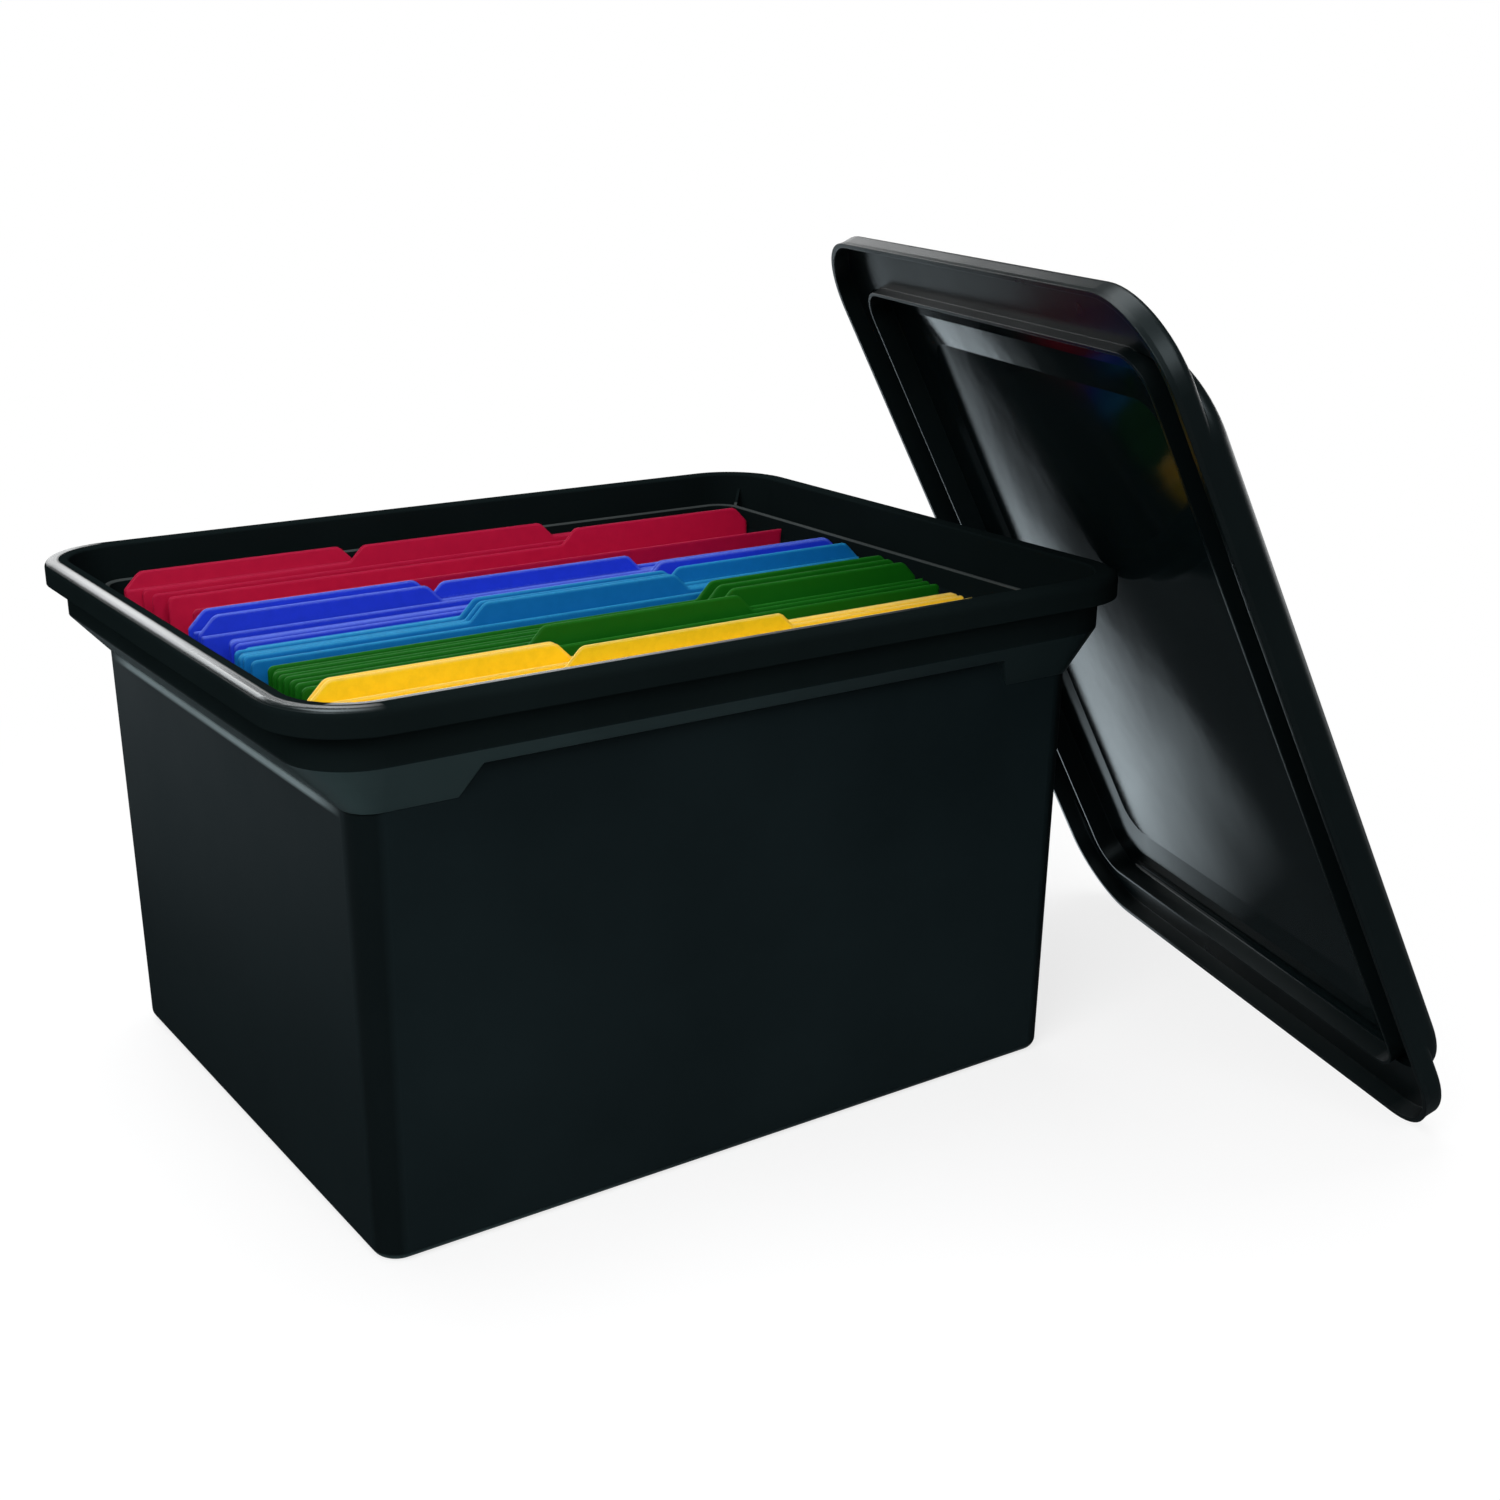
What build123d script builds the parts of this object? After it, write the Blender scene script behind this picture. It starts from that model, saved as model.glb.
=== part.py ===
from build123d import *

import os
from math import atan2, cos, degrees, radians, sin, tan

os.makedirs("parts", exist_ok=True)

# Driving dimensions, in millimetres. The box stands on Z = 0 with its long side along X,
# and its origin is the middle of the tub's base.

# tub, over the lip
TUB_LENGTH = 470.0
TUB_DEPTH = 366.0
TUB_HEIGHT = 272.0
TUB_WALL = 3.0

# rolled lip
LIP_CORNER = 42.0
LIP_REACH = 9.5
LIP_DROP = 12.0
LIP_ROUND = 4.0
MOUTH_ROUND = 1.2

# collar, the sloped ledge under it and the deep aprons at both ends
COLLAR_DROP = 29.0
END_LEDGE = 21.0
SIDE_LEDGE = 10.5
LEDGE_SLOPE = 7.0
APRON_SLOPE = 23.0
APRON_LENGTH = 71.5
APRON_SLANT = 9.0

# walls, hanging rail and raised floor
WALL_CORNER = 13.0
WALL_DRAFT = 2.0
RAIL_DROP = 17.0
RAIL_CHAMFER = 0.8
CORNER_WEB = 1.8
CORNER_WEB_DROP = 8.0
FLOOR_RISE = 14.0
FOOT_ROUND = 6.0
FOOT_LAND = 5.0
FLOOR_DRAFT_ANGLE = 3.0

# lid
LID_WALL = 2.2
LID_CLEARANCE = 0.3
LID_FLARE = 0.6
LID_FLARE_HEIGHT = 3.0
LID_SKIRT = 12.0
LID_EDGE_ROUND = 3.5
LID_PLATEAU_HEIGHT = 19.0
LID_PLATEAU_ROUND = 6.0
LID_END_DECK = 30.5
LID_PLATEAU_CORNER = 40.0
LID_PANEL_RISE = 2.0
LID_PANEL_SLOPE = 18.0
LID_PANEL_END_MARGIN = 48.5
LID_PANEL_SIDE_MARGIN = 44.0
LID_PANEL_CORNER = 26.0
LID_RIB_END_MARGIN = 31.0
LID_RIB_SIDE_MARGIN = 28.5
LID_RIB_CORNER = 20.0
LID_RIB_WALL = 1.8
LID_RIB_TIP = 4.0

# lid at rest: it stands on its end and leans on the right front corner of the lip
LID_LEAN = 26.70
LID_YAW = -16.18
LID_CONTACT_OFFSET = -1.5
SEAT_GAP = 0.3

# file folders: folded card with a one-third-cut tab on the rear leaf
FOLDER_END_GAP = 12.0
FOLDER_HEIGHT = 241.0
FOLDER_TAB_RISE = 9.0
FOLDER_SHEET = 0.5
FOLDER_FOLD = 1.0
TAB_WIDTH = 134.0
TAB_ANGLE = 45.0
TAB_ROUND = 6.0
CARD_CORNER = 3.0
FLOOR_MARGIN = 1.0
LEANING_ROW = "red"

# each folder: tab position (-1 left, 0 centre, 1 right), how far it is pushed through its
# end gap to the right, distance of its rear leaf in front of the rear rail, and how far its
# front leaf stands open at the top
FOLDERS = {
    "red_left": (-1, -0.3, 0.0, 1.6),
    "red_centre": (0, 0.4, 4.5, 16.0),
    "red_right": (1, 0.85, 29.0, 38.0),
    "indigo_left_rear": (-1, -0.3, 98.5, 8.0),
    "indigo_centre": (0, 0.2, 109.5, 1.6),
    "indigo_left_front": (-1, -0.3, 113.0, 4.0),
    "indigo_right_rear": (1, 0.45, 130.0, 1.6),
    "indigo_right_front": (1, 0.4, 133.0, 6.0),
    "blue_right": (1, 0.5, 148.5, 1.6),
    "blue_centre_rear": (0, 0.0, 151.0, 6.0),
    "blue_centre_middle": (0, -0.1, 159.0, 1.6),
    "blue_centre_front": (0, 0.0, 162.5, 10.0),
    "green_right_rear": (1, 0.25, 185.5, 7.0),
    "green_right_middle": (1, 0.1, 196.0, 6.0),
    "green_right_front": (1, 0.2, 206.0, 7.0),
    "green_centre": (0, 0.2, 219.0, 8.0),
    "yellow_left_rear": (-1, -0.3, 247.0, 1.6),
    "yellow_left_front": (-1, -0.3, 250.0, 5.0),
    "yellow_centre": (0, -0.1, 262.0, 8.0),
}

# Derived sizes of the tub
collar_length = TUB_LENGTH - 2 * LIP_REACH
collar_depth = TUB_DEPTH - 2 * LIP_REACH
collar_corner = LIP_CORNER - LIP_REACH
collar_bottom = TUB_HEIGHT - COLLAR_DROP
mouth_length = collar_length - 2 * TUB_WALL
mouth_depth = collar_depth - 2 * TUB_WALL
mouth_corner = collar_corner - TUB_WALL
rail_top = TUB_HEIGHT - RAIL_DROP
ledge_bottom = collar_bottom - LEDGE_SLOPE
apron_bottom = collar_bottom - APRON_SLOPE
wall_top_length = collar_length - 2 * END_LEDGE
wall_top_depth = collar_depth - 2 * SIDE_LEDGE
wall_taper = degrees(atan2(WALL_DRAFT, rail_top))
base_length = wall_top_length - 2 * WALL_DRAFT
base_depth = wall_top_depth - 2 * WALL_DRAFT
floor_top = FLOOR_RISE + TUB_WALL
recess_length = base_length - 2 * (FOOT_ROUND + FOOT_LAND)
recess_depth = base_depth - 2 * (FOOT_ROUND + FOOT_LAND)
recess_corner = WALL_CORNER - FOOT_ROUND


def outline(height, length, depth, corner):
    """A rounded rectangle about the Z axis, at the given height."""
    with BuildSketch(Plane.XY.offset(height)) as profile:
        RectangleRounded(length, depth, corner)
    return profile.sketch


def ledge_window(margin):
    """The middle of the long sides, where the ledge is shallow, between the aprons."""
    half_top = collar_length / 2 - APRON_LENGTH - LEDGE_SLOPE
    low = apron_bottom - TUB_WALL
    slant = APRON_SLANT / (APRON_SLOPE - LEDGE_SLOPE)
    half_low = half_top + slant * (ledge_bottom - low)
    with BuildSketch(Plane.XZ) as profile:
        with BuildLine():
            Polyline(
                (half_top + margin, ledge_bottom),
                (half_low + margin, low),
                (-half_low - margin, low),
                (-half_top - margin, ledge_bottom),
                close=True,
            )
        make_face()
    return profile.sketch


# Core of the trough between the collar and the hanging rail
with BuildPart() as trough_core:
    core_top = collar_bottom + TUB_WALL / 2
    loft([
        outline(apron_bottom + 2 * TUB_WALL, wall_top_length, wall_top_depth, WALL_CORNER),
        outline(core_top, mouth_length, mouth_depth, mouth_corner),
    ])
    extrude(ledge_window(TUB_WALL), amount=TUB_DEPTH, both=True, mode=Mode.SUBTRACT)
    loft([
        outline(ledge_bottom + TUB_WALL, wall_top_length, wall_top_depth, WALL_CORNER),
        outline(core_top, mouth_length, mouth_depth, mouth_corner),
    ])
    extrude(outline(core_top, mouth_length, mouth_depth, mouth_corner), amount=rail_top - core_top)
    extrude(
        outline(0, base_length, base_depth, WALL_CORNER),
        amount=rail_top,
        taper=-wall_taper,
        mode=Mode.SUBTRACT,
    )

# Webs across the four corners of the trough, from the rail to the collar
with BuildPart() as corner_webs:
    web_start = (collar_length / 2 - collar_corner, collar_depth / 2 - collar_corner, 0)
    web_end = collar_corner - TUB_WALL / 2
    web_low = apron_bottom + TUB_WALL
    web_seat = rail_top - 2 * RAIL_CHAMFER
    with BuildSketch(Plane(origin=web_start, x_dir=(1, 1, 0), z_dir=(1, -1, 0))) as web:
        with BuildLine():
            Polyline(
                (0, web_low),
                (web_end / 2, web_low),
                (web_end, collar_bottom + TUB_WALL / 2),
                (web_end, TUB_HEIGHT - CORNER_WEB_DROP),
                (web_end / 2, web_seat),
                (0, web_seat),
                close=True,
            )
        make_face()
    extrude(web.sketch, amount=CORNER_WEB / 2, both=True)
    mirror(about=Plane.YZ)
    mirror(about=Plane.XZ)

# Core of the main hollow, with the gutter round the raised floor
with BuildPart() as hollow_core:
    extrude(
        outline(TUB_WALL, base_length - 2 * TUB_WALL, base_depth - 2 * TUB_WALL, WALL_CORNER - TUB_WALL),
        amount=rail_top - TUB_WALL,
        taper=-wall_taper,
    )
    fillet(hollow_core.faces().sort_by(Axis.Z)[0].edges(), FOOT_ROUND - TUB_WALL)
    extrude(
        outline(0, recess_length + 2 * TUB_WALL, recess_depth + 2 * TUB_WALL, recess_corner + TUB_WALL),
        amount=floor_top,
        taper=FLOOR_DRAFT_ANGLE,
        mode=Mode.SUBTRACT,
    )

# Core of the stacking recess under the floor
with BuildPart() as recess_core:
    extrude(
        outline(0, recess_length, recess_depth, recess_corner),
        amount=FLOOR_RISE,
        taper=FLOOR_DRAFT_ANGLE,
    )

# Tub, one moulding of even thickness
with BuildPart() as tub:
    # aprons at both ends, open in the middle of the long sides
    loft([
        outline(apron_bottom, wall_top_length, wall_top_depth, WALL_CORNER),
        outline(collar_bottom, collar_length, collar_depth, collar_corner),
    ])
    extrude(ledge_window(0), amount=TUB_DEPTH, both=True, mode=Mode.SUBTRACT)
    # rolled lip, hollow on its underside
    extrude(outline(TUB_HEIGHT - LIP_DROP, TUB_LENGTH, TUB_DEPTH, LIP_CORNER), amount=LIP_DROP)
    fillet(tub.faces().sort_by(Axis.Z)[-1].edges(), LIP_ROUND)
    extrude(
        outline(
            TUB_HEIGHT - LIP_DROP,
            TUB_LENGTH - 2 * TUB_WALL,
            TUB_DEPTH - 2 * TUB_WALL,
            LIP_CORNER - TUB_WALL,
        ),
        amount=LIP_DROP - TUB_WALL,
        mode=Mode.SUBTRACT,
    )
    # shallow ledge, collar and walls
    loft([
        outline(ledge_bottom, wall_top_length, wall_top_depth, WALL_CORNER),
        outline(collar_bottom, collar_length, collar_depth, collar_corner),
    ])
    extrude(outline(collar_bottom, collar_length, collar_depth, collar_corner), amount=COLLAR_DROP)
    extrude(outline(0, base_length, base_depth, WALL_CORNER), amount=rail_top, taper=-wall_taper)
    fillet(tub.faces().sort_by(Axis.Z)[0].edges(), FOOT_ROUND)
    # hollows
    extrude(
        outline(rail_top, mouth_length, mouth_depth, mouth_corner),
        amount=RAIL_DROP,
        mode=Mode.SUBTRACT,
    )
    fillet(tub.faces().sort_by(Axis.Z)[-1].inner_wires()[0].edges(), MOUTH_ROUND)
    add(trough_core.part, mode=Mode.SUBTRACT)
    add(corner_webs.part)
    add(hollow_core.part, mode=Mode.SUBTRACT)
    add(recess_core.part, mode=Mode.SUBTRACT)
    rail_land = tub.faces().filter_by(Axis.Z).filter_by_position(
        Axis.Z, rail_top - TUB_WALL / 4, rail_top + TUB_WALL / 4
    )
    chamfer(rail_land.edges(), RAIL_CHAMFER)


# Derived sizes of the lid, heights counted from its rim along its outer normal
lid_length = TUB_LENGTH + 2 * (LID_CLEARANCE + LID_WALL)
lid_depth = TUB_DEPTH + 2 * (LID_CLEARANCE + LID_WALL)
lid_corner = LIP_CORNER + LID_CLEARANCE + LID_WALL
plateau_length = lid_length - 2 * LID_END_DECK
panel_length = lid_length - 2 * LID_PANEL_END_MARGIN
panel_depth = lid_depth - 2 * LID_PANEL_SIDE_MARGIN
rib_length = lid_length - 2 * LID_RIB_END_MARGIN
rib_depth = lid_depth - 2 * LID_RIB_SIDE_MARGIN
deck_inside = LID_SKIRT - LID_WALL
plateau_inside = LID_PLATEAU_HEIGHT - LID_WALL
panel_inside = plateau_inside + LID_PANEL_RISE

# The lid touches the lip's rounded right front corner with the inside of its centre panel.
lean = radians(LID_LEAN)
yaw = radians(LID_YAW)
level = Vector(cos(yaw), sin(yaw), 0)
across = Vector(-sin(yaw), cos(yaw), 0)
outward = level * cos(lean) + Vector(0, 0, sin(lean))
upward = level * -sin(lean) + Vector(0, 0, cos(lean))
lip_centre = Vector(TUB_LENGTH / 2 - LIP_CORNER, LIP_CORNER - TUB_DEPTH / 2, TUB_HEIGHT - LIP_ROUND)
lip_reach = lip_centre.dot(outward) + (LIP_CORNER - LIP_ROUND) * cos(lean) + LIP_ROUND
foot_distance = (lip_reach - (panel_inside - SEAT_GAP)) / cos(lean)
foot_offset = lip_centre.dot(across) - LID_CONTACT_OFFSET
lid_foot = level * foot_distance + across * foot_offset
lid_centre = lid_foot + upward * (lid_length / 2 + LID_FLARE)
lid_seat = Plane(origin=lid_centre, x_dir=upward, z_dir=outward)
lid_axis = Axis(lid_centre, outward)


def lid_outline(height, length, depth, corner):
    """A rounded rectangle about the middle of the lid, at a height above its rim."""
    with BuildSketch(lid_seat.offset(height)) as profile:
        RectangleRounded(length, depth, corner)
    return profile.sketch


def centre_panel(base):
    """The low raised panel in the middle of the plateau, rising from the given height."""
    top_length = panel_length - 2 * LID_PANEL_SLOPE
    top_depth = panel_depth - 2 * LID_PANEL_SLOPE
    top_corner = LID_PANEL_CORNER - LID_PANEL_SLOPE / 2
    loft([
        lid_outline(base, panel_length, panel_depth, LID_PANEL_CORNER),
        lid_outline(base + LID_PANEL_RISE, top_length, top_depth, top_corner),
    ])


# Core of the lid: everything hollow, apart from the locating rib
with BuildPart() as lid_core:
    extrude(
        lid_outline(0, lid_length - 2 * LID_WALL, lid_depth - 2 * LID_WALL, lid_corner - LID_WALL),
        amount=deck_inside,
    )
    extrude(
        lid_outline(
            0,
            plateau_length - 2 * LID_WALL,
            lid_depth - 2 * LID_WALL,
            LID_PLATEAU_CORNER - LID_WALL,
        ),
        amount=plateau_inside,
    )
    fillet(lid_core.faces().sort_by(lid_axis)[-1].edges(), LID_PLATEAU_ROUND - LID_WALL)
    centre_panel(plateau_inside)
    with BuildSketch(lid_seat.offset(LID_RIB_TIP)) as rib:
        RectangleRounded(rib_length, rib_depth, LID_RIB_CORNER)
        offset(amount=-LID_RIB_WALL, mode=Mode.SUBTRACT)
    extrude(rib.sketch, amount=panel_inside, mode=Mode.SUBTRACT)

# Lid, one moulding: flared rim, skirt, end decks, plateau and centre panel
with BuildPart() as lid:
    extrude(lid_outline(0, lid_length, lid_depth, lid_corner), amount=LID_SKIRT)
    fillet(lid.faces().sort_by(lid_axis)[-1].edges(), LID_EDGE_ROUND)
    extrude(lid_outline(0, plateau_length, lid_depth, LID_PLATEAU_CORNER), amount=LID_PLATEAU_HEIGHT)
    fillet(lid.faces().sort_by(lid_axis)[-1].edges(), LID_PLATEAU_ROUND)
    centre_panel(LID_PLATEAU_HEIGHT)
    extrude(
        lid_outline(0, lid_length + 2 * LID_FLARE, lid_depth + 2 * LID_FLARE, lid_corner + LID_FLARE),
        amount=LID_FLARE_HEIGHT,
        taper=degrees(atan2(LID_FLARE, LID_FLARE_HEIGHT)),
    )
    add(lid_core.part, mode=Mode.SUBTRACT)

# Derived sizes of the folders: legal width, with a gap to each end wall
folder_width = base_length - 2 * (TUB_WALL + FOLDER_END_GAP)
folder_front = FOLDER_HEIGHT - FOLDER_TAB_RISE
folder_bottom = floor_top + SEAT_GAP + FOLDER_SHEET / 2
tab_pitch = (folder_width - TAB_WIDTH) / 2
rear_leaf = wall_top_depth / 2 - TUB_WALL - SEAT_GAP - FOLDER_SHEET / 2
floor_edge = recess_depth / 2 + TUB_WALL - floor_top * tan(radians(FLOOR_DRAFT_ANGLE))
rear_lean = atan2(rear_leaf - (floor_edge - FLOOR_MARGIN), rail_top - folder_bottom)


def leaf_plane(push, distance, angle):
    """A folder's rear leaf: X along the fold, Y up the leaf, Z towards the front leaf."""
    up_leaf = Vector(0, sin(angle), cos(angle))
    at_rail = Vector(push * FOLDER_END_GAP, rear_leaf - distance, rail_top)
    fold = at_rail - up_leaf * ((rail_top - folder_bottom) / cos(angle))
    return Plane(origin=fold, x_dir=(1, 0, 0), z_dir=(0, -cos(angle), sin(angle)))


# File folders, each one sheet folded once along its bottom edge
for name, (tab, push, distance, spread) in FOLDERS.items():
    leaf = leaf_plane(push, distance, rear_lean if name.startswith(LEANING_ROW) else 0.0)
    with BuildPart() as folder:
        # both leaves as one bent strip, seen along the fold
        with BuildSketch(Plane(origin=leaf.origin, x_dir=leaf.z_dir, z_dir=(-1, 0, 0))) as strip:
            with BuildLine():
                Polyline((0, FOLDER_HEIGHT), (0, 0), (FOLDER_FOLD, 0), (spread, folder_front))
            trace(line_width=FOLDER_SHEET)
        extrude(strip.sketch, amount=folder_width / 2, both=True)
        # trimmed to the card's outline with its tab
        with BuildSketch(leaf) as card:
            with Locations((0, -FOLDER_SHEET)):
                Rectangle(folder_width, folder_front + FOLDER_SHEET, align=(Align.CENTER, Align.MIN))
            with Locations((tab * tab_pitch, folder_front)):
                Trapezoid(TAB_WIDTH, FOLDER_TAB_RISE, TAB_ANGLE, align=(Align.CENTER, Align.MIN))
            fillet(card.vertices().group_by(Axis.Y)[-1], TAB_ROUND)
            fillet(card.vertices().filter_by_position(Axis.Y, folder_front, folder_front), CARD_CORNER)
        extrude(card.sketch, amount=spread + TUB_WALL, both=True, mode=Mode.INTERSECT)
    folder.part.label = "folder_" + name
    export_step(folder.part, f"parts/folder_{name}.step")

tub.part.label = "tub"
export_step(tub.part, "parts/tub.step")
lid.part.label = "lid"
export_step(lid.part, "parts/lid.step")
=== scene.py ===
from math import cos, radians, sin

import bpy
from mathutils import Matrix, Vector

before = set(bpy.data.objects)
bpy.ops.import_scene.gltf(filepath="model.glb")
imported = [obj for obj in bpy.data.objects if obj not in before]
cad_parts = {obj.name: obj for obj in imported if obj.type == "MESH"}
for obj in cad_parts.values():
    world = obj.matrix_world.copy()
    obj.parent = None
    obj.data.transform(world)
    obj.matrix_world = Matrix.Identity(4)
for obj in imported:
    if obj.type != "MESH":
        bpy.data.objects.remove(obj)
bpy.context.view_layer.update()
scene = bpy.context.scene

# Lengths are in metres and angles in degrees. A pair of numbers named as a fade is where a mask
# starts and where it is full.

# Camera: where it stands, the heading it looks along (0 is +Y, clockwise from above), how far down
# it looks, its roll, and the framing of a square picture
CAMERA_PLACE = Vector((-0.50826, -0.87760, 0.50234))
CAMERA_HEADING = 34.489
CAMERA_DOWN = 20.740
CAMERA_ROLL = 0.429
CAMERA_SENSOR = 36.0
CAMERA_LENS = 47.031
CAMERA_SHIFT = (0.0160, 0.0566)

# Stage: a round pale floor whose front edge lies just before the picture, and which fades to the
# white of the background away from the box
WHITE = (1.0, 1.0, 1.0)
FLOOR_RADIUS = 4.0
FLOOR_SIDES = 96
FLOOR_FRONT = 0.52
FLOOR_COLOUR = (0.93, 0.935, 0.94)
FLOOR_FADE = (0.20, 0.78)
FLOOR_LIFT = 0.72

# Mirrored rays find the floor dim, with a bright pool of light beside the lid and a paler one on
# the left of the box; each pool is bounded by fades along X and Y
MIRRORED_COLOUR = (0.80, 0.93, 1.0)
MIRRORED_FLOOR = 0.07
RIGHT_POOL = 3.0
RIGHT_POOL_NEAR_FADE = (0.31, 0.375)
RIGHT_POOL_FAR_FADE = (0.52, 0.43)
RIGHT_POOL_BACK_FADE = (-0.12, 0.06)
LEFT_POOL = 0.8
LEFT_POOL_NEAR_FADE = (-0.26, -0.40)
LEFT_POOL_BACK_FADE = (-0.25, 0.45)

# World: a dim room with a low white sweep behind the floor, each for light and for mirrored rays
ROOM_LIGHT = 0.26
ROOM_MIRRORED = 0.05
SWEEP_LIGHT = 0.8
SWEEP_MIRRORED = 2.4
SWEEP_HEIGHT_FADE = (0.16, 0.10)
SWEEP_BACK_FADE = (-0.1, 0.4)

# Softboxes: name, place, aimed at, width and height, power in watts
SOFTBOXES = (
    ("key_left", (-1.5, -0.9, 1.7), (0.0, 0.0, 0.2), (1.2, 1.2), 34.0),
    ("camera_side", (-0.5, -2.0, 1.5), (0.0, 0.0, 0.25), (1.4, 1.0), 22.0),
    ("top", (0.1, 0.3, 2.1), (0.0, 0.0, 0.2), (1.6, 1.2), 24.0),
    ("rim_behind", (0.02, 1.9, 0.93), (-0.235, 0.0, 0.272), (0.86, 0.86), 8.6),
    ("skirt_behind", (0.95, 1.85, 1.12), (0.05, -0.1, 0.35), (0.7, 0.72), 3.2),
)

# Folder card, by the word in a folder's name: its colour, and that of the highlight painted along
# its upper edges
CARDS = {
    "red": ((0.44, 0.002, 0.036), (0.56, 0.008, 0.065)),
    "indigo": ((0.010, 0.036, 0.60), (0.18, 0.28, 0.95)),
    "blue": ((0.001, 0.140, 0.42), (0.03, 0.42, 0.78)),
    "green": ((0.002, 0.105, 0.002), (0.014, 0.21, 0.014)),
    "yellow": ((1.0, 0.66, 0.010), (1.0, 0.80, 0.24)),
}
CARD_IOR = 1.45
CARD_SHEEN = 0.30
CARD_ROUGHNESS = (0.48, 0.60)
CARD_ROUGHNESS_FADE = (0.3, 0.7)
CARD_SHADES = (0.94, 1.02)
CARD_SHADES_FADE = (0.35, 0.65)
CARD_EDGE_WIDTH = 0.0022
CARD_HIGHLIGHT_FADE = (0.12, 0.60)
MOTTLE_SCALE = 190.0
MOTTLE_DETAIL = 4.0
MOTTLE_ROUGHNESS = 0.6
FIBRE_SCALE = 900.0
FIBRE_DETAIL = 3.0
FIBRE_HEIGHT = 0.00004

# Black plastic: its moulded grain, flow marks and slight cloudiness
PLASTIC_IOR = 1.50
PLASTIC_SHEEN = (0.80, 0.95, 1.0)
GRAIN_DETAIL = 2.0
GRAIN_SCALE = 1400.0
GRAIN_HEIGHT = 0.00002
FLOW_SCALE = 28.0
FLOW_HEIGHT = 0.00012
CLOUD_SCALE = 9.0
CLOUD_DETAIL = 3.0
CLOUD_FADE = (0.3, 0.7)
CLOUD_SHADES = (0.85, 1.15)
CLOUD_WEAR = (0.88, 1.12)
EDGE_RADIUS = 0.0008
EDGE_SAMPLES = 4

# Tub: its wall colour, and the painted shade and painted light laid over it. A part is told from
# the rest by where it lies on the tub, or by the way it faces.
WALL_COLOUR = (0.0048, 0.0088, 0.0100)
# Painted shade: the rounded corners, told by facing halfway between X and Y, are darker
CORNER_SHADE_COLOUR = (0.0028, 0.0050, 0.0055)
CORNER_SHADE_FADE = (0.10, 0.30)
# Painted shade: above this height the collar and the lip's sides are darker, as if under the lip
COLLAR_SHADE_COLOUR = (0.0042, 0.0070, 0.0073)
COLLAR_HEIGHT_FADE = (0.2425, 0.2440)
# Painted reflection: faces that look down are paler, as if lit by the floor; in full on the left
# end and at a share of it on the right, fading across LEFTWARD_FADE
LEDGE_REFLECTION_COLOUR = (0.0170, 0.0320, 0.0330)
LEDGE_DOWN_FADE = (-0.2, -0.5)
LEDGE_REFLECTION_RIGHT_SHARE = 0.30
LEFTWARD_FADE = (0.12, -0.14)

# Tub: a painted highlight along the foot of each end's ledge, and another along the top of the
# inner rail
LEDGE_FOOT_HIGHLIGHT_COLOUR = (0.155, 0.200, 0.210)
LEDGE_FOOT_HIGHLIGHT_LOW_FADE = (0.2150, 0.2168)
LEDGE_FOOT_HIGHLIGHT_HIGH_FADE = (0.2202, 0.2186)
LEDGE_FOOT_HIGHLIGHT_SPAN_FADE = (0.148, 0.122)
LEDGE_FOOT_HIGHLIGHT_END_FADE = (0.80, 0.95)
RAIL_HIGHLIGHT_COLOUR = (0.034, 0.040, 0.040)
RAIL_HEIGHT = 0.255
RAIL_EDGE_FADE = (0.0011, 0.0007)
RAIL_UP_FADE = (0.3, 0.6)

# Tub: the lip is rubbed smooth on its outer part on the left, less so towards the rear, and along
# its inner edge in front. How far out a point lies is measured from the centres of its corners.
LIP_CENTRES = (0.193, 0.141, 0.0)
LIP_HEIGHT_FADE = (0.2704, 0.2710)
LIP_OUTER_FADE = (0.0345, 0.0360)
LIP_LEFT_FADE = (-0.195, -0.215)
LIP_REAR_FADE = (0.16, -0.12)
LIP_REAR_SHINE = 0.50
LIP_INNER_FADE = (0.0336, 0.0326)
LIP_FRONT_FADE = (-0.1655, -0.1665)

# Tub: how rough and how glossy its parts are, and how much grain is left on the rubbed lip
WALL_ROUGHNESS = 0.45
WALL_GLOSS = 0.03
COLLAR_GLOSS = 0.0
LEDGE_ROUGHNESS = 0.30
LEDGE_GLOSS = 0.40
LIP_ROUGHNESS = 0.22
LIP_GLOSS = 0.62
LIP_GRAIN = 0.15

# Lid: satin outside and on its end decks, and polished in the plateau's hollow, whose thin panel
# bows a little. The lean and the yaw give the way that its outer face looks, and the hollow is told
# by how far out it lies that way.
LID_LEAN = 26.70
LID_YAW = -16.18
LID_COLOUR = (0.0022, 0.0046, 0.0050)
LID_WARP_SCALE = 6.5
LID_WARP_DETAIL = 1.0
LID_WARP_HEIGHT = 0.0022
OUTSIDE_ROUGHNESS = 0.36
OUTSIDE_GLOSS = 0.30
OUTSIDE_FADE = (-0.5, -0.1)
INSIDE_GLOSS = 0.08
DECK_ROUGHNESS = 0.30
HOLLOW_ROUGHNESS = 0.08
HOLLOW_FADE = (0.3520, 0.3545)

# Sockets of the Mix node when it mixes colours
MIX_MASK = 0
MIX_FIRST = 6
MIX_SECOND = 7
MIX_RESULT = 2

# A vector times this keeps its level part only
LEVEL = (1.0, 1.0, 0.0)


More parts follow.
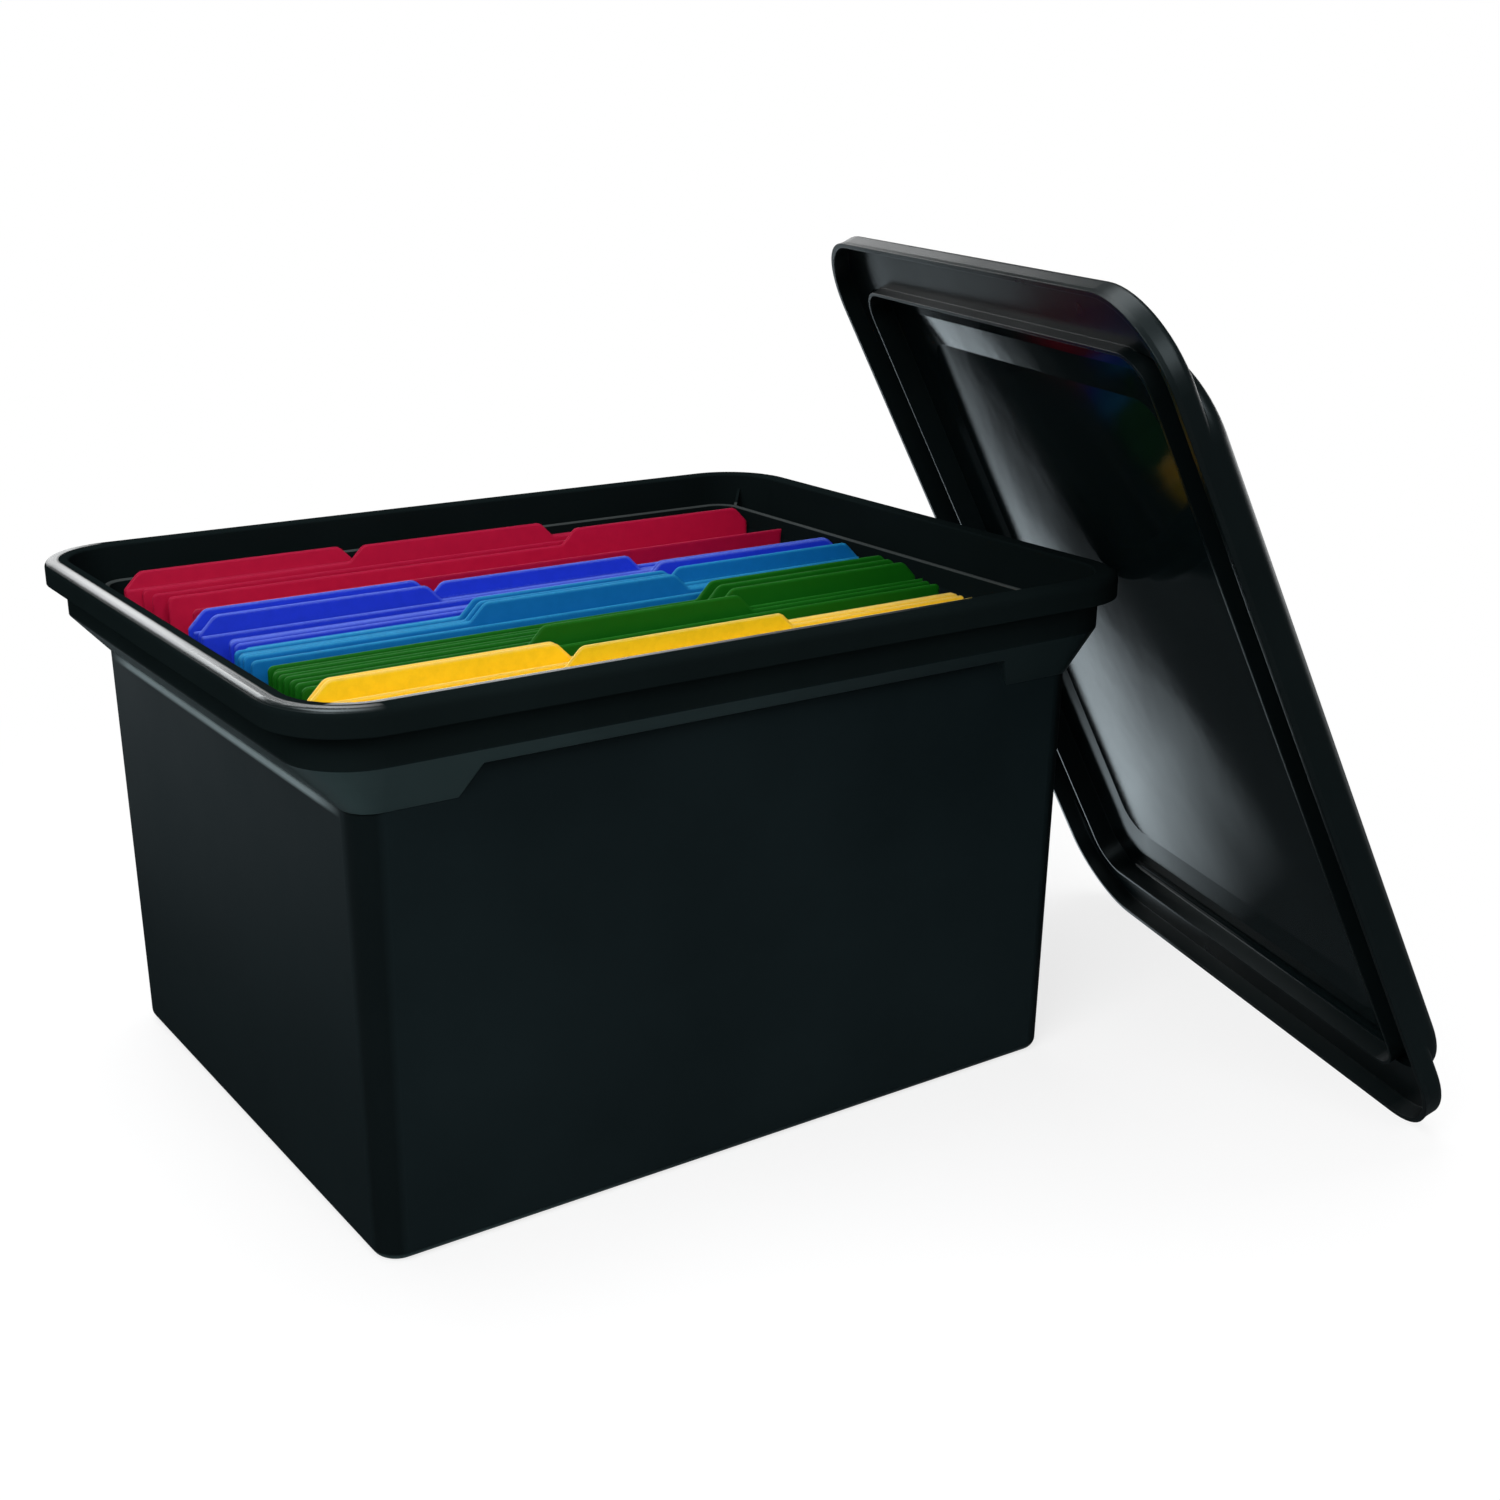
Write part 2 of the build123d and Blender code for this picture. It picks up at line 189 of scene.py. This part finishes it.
class Nodes:
    """Adds and joins shader nodes of one tree."""

    def __init__(self, tree):
        self.tree = tree
        tree.nodes.clear()

    @property
    def place(self):
        """Where on its own piece a point lies, in metres."""
        return self.add("ShaderNodeTexCoord").outputs["Object"]

    @property
    def facing(self):
        """The way the surface faces, on its own piece."""
        return self.add("ShaderNodeTexCoord").outputs["Normal"]

    def put(self, node, socket, value):
        """Joins or sets one input of a node."""
        if isinstance(value, bpy.types.NodeSocket):
            self.tree.links.new(value, node.inputs[socket])
        else:
            node.inputs[socket].default_value = value

    def add(self, kind, inputs=None, **settings):
        node = self.tree.nodes.new(kind)
        for name, value in settings.items():
            setattr(node, name, value)
        for socket, value in (inputs or {}).items():
            self.put(node, socket, value)
        return node

    def maths(self, operation, first, second=0.0):
        node = self.add("ShaderNodeMath", {0: first, 1: second}, operation=operation)
        return node.outputs[0]

    def product(self, first, *others):
        for other in others:
            first = self.maths("MULTIPLY", first, other)
        return first

    def vector_maths(self, operation, first, second=(0.0, 0.0, 0.0)):
        node = self.add("ShaderNodeVectorMath", {0: first, 1: second}, operation=operation)
        gives_number = operation in ("LENGTH", "DOT_PRODUCT")
        return node.outputs["Value" if gives_number else "Vector"]

    def split(self, vector):
        """The X, Y and Z of a vector."""
        return self.add("ShaderNodeSeparateXYZ", {"Vector": vector}).outputs

    def ramp(self, value, low, high, start=0.0, end=1.0, easing="LINEAR"):
        """Goes from start to end while the value goes from low to high."""
        node = self.add(
            "ShaderNodeMapRange",
            {"Value": value, "From Min": low, "From Max": high, "To Min": start, "To Max": end},
            interpolation_type=easing,
        )
        return node.outputs["Result"]

    def blend(self, mask, start, end):
        return self.ramp(mask, 0.0, 1.0, start, end)

    def mix(self, mask, first, second):
        """One colour where the mask is 0, and the other where it is 1."""
        node = self.add("ShaderNodeMix", data_type="RGBA")
        self.put(node, MIX_MASK, mask)
        for socket, colour in ((MIX_FIRST, first), (MIX_SECOND, second)):
            if isinstance(colour, tuple):
                colour = (*colour, 1.0)
            self.put(node, socket, colour)
        return node.outputs[MIX_RESULT]

    def mix_shaders(self, mask, first, second):
        inputs = {0: mask, 1: first.outputs[0], 2: second.outputs[0]}
        return self.add("ShaderNodeMixShader", inputs)

    def noise(self, scale, detail, roughness=0.5):
        """Cloudy noise that stays put on its piece."""
        inputs = {"Vector": self.place, "Scale": scale, "Detail": detail, "Roughness": roughness}
        return self.add("ShaderNodeTexNoise", inputs).outputs["Fac"]

    def bump(self, pattern, height, normal, strength=1.0):
        inputs = {"Height": pattern, "Distance": height, "Normal": normal, "Strength": strength}
        return self.add("ShaderNodeBump", inputs).outputs["Normal"]

    def rounded(self, radius):
        """The way the surface faces, with its edges rounded."""
        node = self.add("ShaderNodeBevel", {"Radius": radius}, samples=EDGE_SAMPLES)
        return node.outputs["Normal"]

    def finish(self, shader):
        self.add("ShaderNodeOutputMaterial", {"Surface": shader.outputs[0]})


def new_material(name):
    material = bpy.data.materials.new(name)
    material.use_nodes = True
    return material, Nodes(material.node_tree)


def scaled(colour, factor):
    return tuple(channel * factor for channel in colour)


def plastic_grain(nodes, normal, strength=1.0):
    """A fine moulded grain over faint flow marks."""
    flow = nodes.noise(FLOW_SCALE, GRAIN_DETAIL)
    fine = nodes.noise(GRAIN_SCALE, GRAIN_DETAIL)
    flowing = nodes.bump(flow, FLOW_HEIGHT, normal, strength)
    return nodes.bump(fine, GRAIN_HEIGHT, flowing, strength)


def plastic_shader(nodes, colour, roughness, gloss, normal):
    """Black plastic that varies a little from place to place."""
    cloud = nodes.ramp(nodes.noise(CLOUD_SCALE, CLOUD_DETAIL), *CLOUD_FADE)
    shade = nodes.add(
        "ShaderNodeVectorMath",
        {0: colour, "Scale": nodes.blend(cloud, *CLOUD_SHADES)},
        operation="SCALE",
    )
    return nodes.add(
        "ShaderNodeBsdfPrincipled",
        {
            "Base Color": shade.outputs["Vector"],
            "Roughness": nodes.product(roughness, nodes.blend(cloud, *CLOUD_WEAR)),
            "Normal": normal,
            "IOR": PLASTIC_IOR,
            "Specular IOR Level": gloss,
            "Specular Tint": (*PLASTIC_SHEEN, 1.0),
        },
    )


def lip_shine(nodes, place, leftward):
    """How far the lip is rubbed smooth."""
    past = nodes.vector_maths("ABSOLUTE", nodes.place)
    past = nodes.vector_maths("SUBTRACT", past, LIP_CENTRES)
    past = nodes.vector_maths("MULTIPLY", nodes.vector_maths("MAXIMUM", past), LEVEL)
    past = nodes.vector_maths("LENGTH", past)
    left = nodes.product(
        nodes.ramp(past, *LIP_OUTER_FADE),
        nodes.ramp(place["X"], *LIP_LEFT_FADE),
        nodes.ramp(place["Y"], *LIP_REAR_FADE, LIP_REAR_SHINE, 1.0),
    )
    front = nodes.product(
        nodes.ramp(past, *LIP_INNER_FADE), nodes.ramp(place["Y"], *LIP_FRONT_FADE), leftward
    )
    top = nodes.ramp(place["Z"], *LIP_HEIGHT_FADE)
    return nodes.product(nodes.maths("MAXIMUM", left, front), top)


def tub_material(name):
    """Satin walls, painted shade on the corners and collar, a painted reflection on the ledge, a
    rubbed lip, and painted highlights on the rail and the ledge feet.
    """
    material, nodes = new_material(name)
    place = nodes.split(nodes.place)
    facing = nodes.split(nodes.facing)
    leftward = nodes.ramp(place["X"], *LEFTWARD_FADE)

    lip = lip_shine(nodes, place, leftward)
    # Painted shade on the rounded corners, where the surface faces halfway between X and Y
    corner = nodes.maths("ABSOLUTE", nodes.product(facing["X"], facing["Y"]))
    # Painted shade on the collar and the lip's sides; this mask also takes the collar's gloss away
    collar = nodes.ramp(place["Z"], *COLLAR_HEIGHT_FADE)
    # Facing down: a painted reflection of the floor in the colour, and a real smoother, glossier
    # finish
    ledge = nodes.ramp(facing["Z"], *LEDGE_DOWN_FADE)
    # Painted highlight: a pale line along the foot of each end's ledge
    rubbed = nodes.product(
        nodes.ramp(place["Z"], *LEDGE_FOOT_HIGHLIGHT_LOW_FADE),
        nodes.ramp(place["Z"], *LEDGE_FOOT_HIGHLIGHT_HIGH_FADE),
        nodes.ramp(nodes.maths("ABSOLUTE", place["Y"]), *LEDGE_FOOT_HIGHLIGHT_SPAN_FADE),
        nodes.ramp(nodes.maths("ABSOLUTE", facing["X"]), *LEDGE_FOOT_HIGHLIGHT_END_FADE),
    )
    # Painted highlight: a pale line along the upward-facing top of the inner rail
    off_rail = nodes.maths("ABSOLUTE", nodes.maths("SUBTRACT", place["Z"], RAIL_HEIGHT))
    rail = nodes.product(
        nodes.ramp(off_rail, *RAIL_EDGE_FADE), nodes.ramp(facing["Z"], *RAIL_UP_FADE)
    )

    colour = WALL_COLOUR
    for mask, part_colour in (
        (nodes.ramp(corner, *CORNER_SHADE_FADE), CORNER_SHADE_COLOUR),
        (collar, COLLAR_SHADE_COLOUR),
        (nodes.product(ledge, nodes.blend(leftward, LEDGE_REFLECTION_RIGHT_SHARE, 1.0)), LEDGE_REFLECTION_COLOUR),
        (rubbed, LEDGE_FOOT_HIGHLIGHT_COLOUR),
        (rail, RAIL_HIGHLIGHT_COLOUR),
    ):
        colour = nodes.mix(mask, colour, part_colour)
    roughness = nodes.blend(ledge, WALL_ROUGHNESS, LEDGE_ROUGHNESS)
    roughness = nodes.blend(lip, roughness, LIP_ROUGHNESS)
    gloss = nodes.blend(collar, WALL_GLOSS, COLLAR_GLOSS)
    gloss = nodes.blend(ledge, gloss, LEDGE_GLOSS)
    gloss = nodes.blend(lip, gloss, LIP_GLOSS)
    normal = plastic_grain(nodes, nodes.rounded(EDGE_RADIUS), nodes.blend(lip, 1.0, LIP_GRAIN))
    nodes.finish(plastic_shader(nodes, colour, roughness, gloss, normal))
    return material


def lid_material(name):
    """Satin outside and on the decks, and polished in the plateau's hollow."""
    material, nodes = new_material(name)
    lean, yaw = radians(LID_LEAN), radians(LID_YAW)
    outward = Vector((cos(yaw) * cos(lean), sin(yaw) * cos(lean), sin(lean)))
    outside = nodes.ramp(nodes.vector_maths("DOT_PRODUCT", nodes.facing, outward), *OUTSIDE_FADE)
    reach = nodes.vector_maths("DOT_PRODUCT", nodes.place, outward)
    inside = nodes.ramp(reach, *HOLLOW_FADE, DECK_ROUGHNESS, HOLLOW_ROUGHNESS)
    roughness = nodes.blend(outside, inside, OUTSIDE_ROUGHNESS)
    gloss = nodes.blend(outside, INSIDE_GLOSS, OUTSIDE_GLOSS)
    warp = nodes.noise(LID_WARP_SCALE, LID_WARP_DETAIL)
    bowed = nodes.bump(warp, LID_WARP_HEIGHT, nodes.rounded(EDGE_RADIUS))
    normal = plastic_grain(nodes, bowed)
    nodes.finish(plastic_shader(nodes, LID_COLOUR, roughness, gloss, normal))
    return material


def card_material(name, colour, highlight_colour):
    """Coloured card: a fine mottle, short fibres and a painted highlight along upward-facing edges.
    """
    material, nodes = new_material(name)
    mottle = nodes.noise(MOTTLE_SCALE, MOTTLE_DETAIL, MOTTLE_ROUGHNESS)
    fibre = nodes.noise(FIBRE_SCALE, FIBRE_DETAIL)
    darker, lighter = (scaled(colour, shade) for shade in CARD_SHADES)
    tone = nodes.mix(nodes.ramp(mottle, *CARD_SHADES_FADE), darker, lighter)
    rounded = nodes.rounded(CARD_EDGE_WIDTH)
    # Painted highlight: paler colour along edges whose rounded normal faces up
    tone = nodes.mix(nodes.ramp(nodes.split(rounded)["Z"], *CARD_HIGHLIGHT_FADE), tone, highlight_colour)
    shader = nodes.add(
        "ShaderNodeBsdfPrincipled",
        {
            "Base Color": tone,
            "Roughness": nodes.ramp(mottle, *CARD_ROUGHNESS_FADE, *CARD_ROUGHNESS),
            "Normal": nodes.bump(fibre, FIBRE_HEIGHT, rounded),
            "IOR": CARD_IOR,
            "Specular IOR Level": CARD_SHEEN,
        },
    )
    nodes.finish(shader)
    return material


def stage_rays(nodes):
    """The rays that show the stage as the camera does, and those that mirror it."""
    rays = nodes.add("ShaderNodeLightPath").outputs
    shown = nodes.maths("MAXIMUM", rays["Is Camera Ray"], rays["Is Transmission Ray"])
    return shown, rays["Is Glossy Ray"]


def behind():
    """The level direction away from the camera."""
    heading = radians(CAMERA_HEADING)
    return Vector((sin(heading), cos(heading), 0.0))


def make_world():
    """White where the camera looks; for light and mirrored rays a white sweep in a dim room."""
    world = bpy.data.worlds.new("studio")
    world.use_nodes = True
    scene.world = world
    nodes = Nodes(world.node_tree)
    way = nodes.add("ShaderNodeTexCoord").outputs["Generated"]
    sweep = nodes.product(
        nodes.ramp(nodes.split(way)["Z"], *SWEEP_HEIGHT_FADE),
        nodes.ramp(nodes.vector_maths("DOT_PRODUCT", way, behind()), *SWEEP_BACK_FADE),
    )
    shown, mirrored = stage_rays(nodes)
    room = nodes.blend(mirrored, ROOM_LIGHT, ROOM_MIRRORED)
    bright = nodes.blend(mirrored, SWEEP_LIGHT, SWEEP_MIRRORED)
    strength = nodes.blend(shown, nodes.blend(sweep, room, bright), 1.0)
    sky = nodes.add("ShaderNodeBackground", {"Color": (*WHITE, 1.0), "Strength": strength})
    nodes.add("ShaderNodeOutputWorld", {"Surface": sky.outputs[0]})


def mirrored_floor(nodes, place):
    """How bright mirrored rays find the floor."""
    parts = nodes.split(place)
    right = nodes.product(
        nodes.ramp(parts["X"], *RIGHT_POOL_NEAR_FADE),
        nodes.ramp(parts["Y"], *RIGHT_POOL_BACK_FADE),
        nodes.ramp(parts["X"], *RIGHT_POOL_FAR_FADE),
    )
    left = nodes.product(
        nodes.ramp(parts["X"], *LEFT_POOL_NEAR_FADE), nodes.ramp(parts["Y"], *LEFT_POOL_BACK_FADE)
    )
    return nodes.blend(right, nodes.blend(left, MIRRORED_FLOOR, LEFT_POOL), RIGHT_POOL)


def make_floor():
    """A round pale floor that fades to the white of the background away from the object."""
    bpy.ops.mesh.primitive_circle_add(
        vertices=FLOOR_SIDES,
        radius=FLOOR_RADIUS,
        fill_type="NGON",
        location=behind() * (FLOOR_RADIUS - FLOOR_FRONT),
    )
    floor = bpy.context.object
    floor.name = "floor"
    material, nodes = new_material("floor")
    place = nodes.add("ShaderNodeNewGeometry").outputs["Position"]
    distance = nodes.vector_maths("LENGTH", place)
    fade = nodes.ramp(distance, *FLOOR_FADE, FLOOR_LIFT, 1.0, easing="SMOOTHSTEP")
    shown, mirrored = stage_rays(nodes)
    pale = nodes.add("ShaderNodeBsdfDiffuse", {"Color": (*FLOOR_COLOUR, 1.0)})
    white = nodes.add("ShaderNodeEmission", {"Color": (*WHITE, 1.0), "Strength": 1.0})
    dim = nodes.add(
        "ShaderNodeEmission",
        {"Color": (*MIRRORED_COLOUR, 1.0), "Strength": mirrored_floor(nodes, place)},
    )
    seen = nodes.mix_shaders(nodes.product(fade, shown), pale, white)
    nodes.finish(nodes.mix_shaders(mirrored, seen, dim))
    floor.data.materials.append(material)


def make_softboxes():
    for name, place, target, size, power in SOFTBOXES:
        lamp = bpy.data.lights.new(name, "AREA")
        lamp.shape = "RECTANGLE"
        lamp.size, lamp.size_y = size
        lamp.energy = power
        lamp_object = bpy.data.objects.new(name, lamp)
        lamp_object.location = place
        aim = Vector(target) - Vector(place)
        lamp_object.rotation_euler = aim.to_track_quat("-Z", "Y").to_euler()
        scene.collection.objects.link(lamp_object)


def make_camera():
    data = bpy.data.cameras.new("camera")
    data.sensor_width = CAMERA_SENSOR
    data.lens = CAMERA_LENS
    data.shift_x, data.shift_y = CAMERA_SHIFT
    camera = bpy.data.objects.new("camera", data)
    turn = Matrix.Rotation(radians(-CAMERA_HEADING), 4, "Z")
    tilt = Matrix.Rotation(radians(90.0 - CAMERA_DOWN), 4, "X")
    roll = Matrix.Rotation(radians(CAMERA_ROLL), 4, "Z")
    camera.matrix_world = Matrix.Translation(CAMERA_PLACE) @ turn @ tilt @ roll
    scene.collection.objects.link(camera)
    scene.camera = camera


def dress(node, material):
    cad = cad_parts[node]
    cad.data.materials.clear()
    cad.data.materials.append(material)


make_world()
make_floor()
make_softboxes()
make_camera()

dress("tub", tub_material("moulded_plastic"))
dress("lid", lid_material("moulded_plastic_polished"))
cards = {word: card_material("card_" + word, *colours) for word, colours in CARDS.items()}
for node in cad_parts:
    if node.startswith("folder_"):
        word = node.split("_")[1]
        dress(node, cards[word])

scene.view_settings.view_transform = "Standard"
